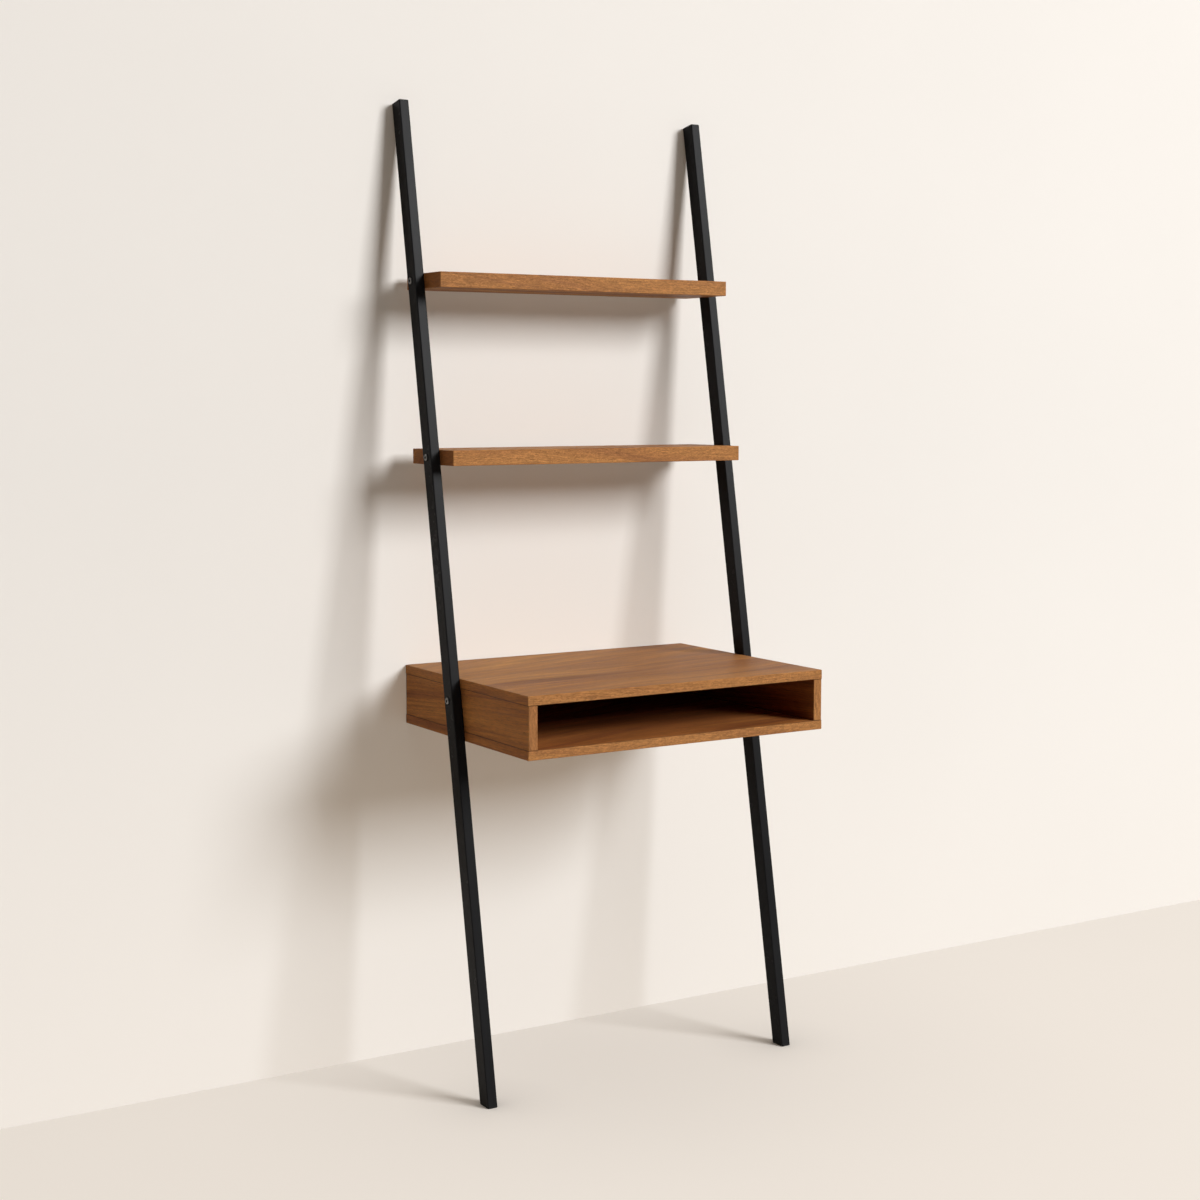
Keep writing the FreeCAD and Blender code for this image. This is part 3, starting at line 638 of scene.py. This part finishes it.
def stage_material(name, colour, bounce, far, glow_colour, glow, rise, contact):
    """Pale paint that can't be seen from behind. Only a share of its colour, the bounce, is thrown
    back on the desk, and at the stage's reach only another share, far, is left of it. Where it is
    seen directly, a glow takes the place of most of as much paint, so that a lit place keeps its
    colour and a shadow is filled. Along each axis the glow changes by rise per metre, and with
    contact it is weaker close to the desk."""
    material, tree = new_material(name)
    place = row_place(tree)
    seen = seen_directly(tree)

    slope = vector_measure(tree, "DOT_PRODUCT", place, rise)
    strength = maths(tree, "MAXIMUM", maths(tree, "ADD", slope, glow), LEAST_GLOW)
    if contact:
        unhidden = add_node(tree, "ShaderNodeAmbientOcclusion", {"Distance": CONTACT_REACH})
        unhidden = maths(tree, "POWER", unhidden.outputs["AO"], CONTACT_POWER)
        strength = product(tree, strength, unhidden)
    shining = vector_maths(tree, "MULTIPLY", glow_colour, strength)
    light = add_node(tree, "ShaderNodeEmission", {"Color": shining, "Strength": seen})

    cloud = noise(tree, place, PAINT_CLOUD)
    away = vector_measure(tree, "LENGTH", place)
    shade = product(
        tree,
        map_range(tree, cloud, *MOST_NOISE, CLOUD_LEAST, 1.0),
        map_range(tree, seen, 0.0, 1.0, bounce, 1.0),
        map_range(tree, away, FADE_FROM, STAGE_REACH, 1.0, far, smooth=True),
    )
    left_over = vector_maths(tree, "MULTIPLY_ADD", shining, (-GLOW_FOR_PAINT,) * 3, colour)
    paint_colour = vector_maths(tree, "MULTIPLY", left_over, shade)
    paint = add_node(tree, "ShaderNodeBsdfDiffuse", {"Color": paint_colour})

    front = add_node(tree, "ShaderNodeAddShader", {0: paint.outputs[0], 1: light.outputs[0]})
    clear = add_node(tree, "ShaderNodeBsdfTransparent")
    behind = add_node(tree, "ShaderNodeNewGeometry").outputs["Backfacing"]
    surface = mix_shaders(tree, behind, front, clear)
    add_node(tree, "ShaderNodeOutputMaterial", {"Surface": surface})
    return material


def plane(name, corners, material):
    """A flat stage surface, whose front is the side from which the corners run anticlockwise."""
    mesh = bpy.data.meshes.new(name)
    mesh.from_pydata(corners, [], [tuple(range(len(corners)))])
    mesh.materials.append(material)
    piece = bpy.data.objects.new(name, mesh)
    bpy.context.scene.collection.objects.link(piece)
    return piece


def make_stage():
    """The wall that the desk leans on, which casts no shadow and throws no light back on the desk,
    and the floor."""
    wall_paint = stage_material(
        "wall_paint",
        colour=linear(248, 243, 237),
        bounce=1.0,
        far=0.35,
        glow_colour=(1.32, 1.0, 0.7),
        glow=0.262,
        rise=(0.0, 0.0, -0.185),
        contact=False,
    )
    floor_paint = stage_material(
        "floor_paint",
        colour=linear(250, 244, 237),
        bounce=0.52,
        far=0.25,
        glow_colour=(1.15, 1.0, 0.85),
        glow=0.24,
        rise=(0.013, 0.0, 0.0),
        contact=True,
    )
    reach, wall_y, floor_z = STAGE_REACH, WALL_Y + WALL_GAP, -FLOOR_GAP
    wall_corners = [
        (-reach, wall_y, floor_z),
        (reach, wall_y, floor_z),
        (reach, wall_y, WALL_HEIGHT),
        (-reach, wall_y, WALL_HEIGHT),
    ]
    floor_corners = [
        (-reach, -reach, floor_z),
        (reach, -reach, floor_z),
        (reach, reach, floor_z),
        (-reach, reach, floor_z),
    ]
    wall = plane("stage_wall", wall_corners, wall_paint)
    wall.visible_shadow = False
    wall.visible_diffuse = False
    plane("stage_floor", floor_corners, floor_paint)


def heading(azimuth, elevation):
    """The direction at an azimuth from +Y towards +X and at an elevation, in degrees."""
    around, above = math.radians(azimuth), math.radians(elevation)
    level = math.cos(above)
    return Vector((math.sin(around) * level, math.cos(around) * level, math.sin(above)))


def make_key_light():
    """A square lamp that looks at the desk. Its strength is what a white surface that faces it
    reflects."""
    middle = (cad_box[0] + cad_box[1]) / 2
    towards = heading(KEY_AZIMUTH, KEY_ELEVATION)
    data = bpy.data.lights.new("key", "AREA")
    data.size = KEY_SIDE
    data.energy = KEY_STRENGTH * (math.pi * KEY_DISTANCE) ** 2
    lamp = bpy.data.objects.new("key", data)
    lamp.location = middle + towards * KEY_DISTANCE
    lamp.rotation_mode = "QUATERNION"
    lamp.rotation_quaternion = towards.to_track_quat("Z", "Y")
    bpy.context.scene.collection.objects.link(lamp)


def make_world():
    """A soft fill from overhead, with a little from the right and from behind the desk, and a pale
    backdrop beyond the stage."""
    world = bpy.data.worlds.new("studio")
    world.use_nodes = True
    tree = world.node_tree
    tree.nodes.clear()
    direction = split(tree, add_node(tree, "ShaderNodeTexCoord").outputs["Generated"])
    above = map_range(tree, direction["Z"], *ABOVE_FROM_TO, 0.0, FILL_ABOVE, smooth=True)
    right = map_range(tree, direction["X"], *RIGHT_FROM_TO, 0.0, FILL_RIGHT, smooth=True)
    behind = map_range(tree, direction["Y"], *BEHIND_FROM_TO, 0.0, FILL_BEHIND, smooth=True)
    strength = maths(tree, "ADD", maths(tree, "ADD", right, behind), above)
    fill_inputs = {"Color": (*FILL_COLOUR, 1.0), "Strength": strength}
    fill = add_node(tree, "ShaderNodeBackground", fill_inputs)
    backdrop = add_node(tree, "ShaderNodeBackground", {"Color": (*BACKDROP_COLOUR, 1.0)})
    surface = mix_shaders(tree, seen_directly(tree, BACKDROP_GLOSS), fill, backdrop)
    add_node(tree, "ShaderNodeOutputWorld", {"Surface": surface})
    bpy.context.scene.world = world


def make_camera():
    """A camera at the photo's place and angle, both solved from corners of the desk."""
    data = bpy.data.cameras.new("camera")
    data.sensor_width = CAMERA_SENSOR
    data.lens = CAMERA_LENS
    data.shift_y = CAMERA_SHIFT_Y
    forward = heading(CAMERA_AZIMUTH, CAMERA_ELEVATION)
    camera = bpy.data.objects.new("camera", data)
    camera.location = CAMERA_PLACE
    camera.rotation_euler = forward.to_track_quat("-Z", "Y").to_euler()
    bpy.context.scene.collection.objects.link(camera)
    bpy.context.scene.camera = camera


make_camera()
dress_boards()
dress_metal()
make_stage()
make_key_light()
make_world()
bpy.context.scene.view_settings.view_transform = "Standard"
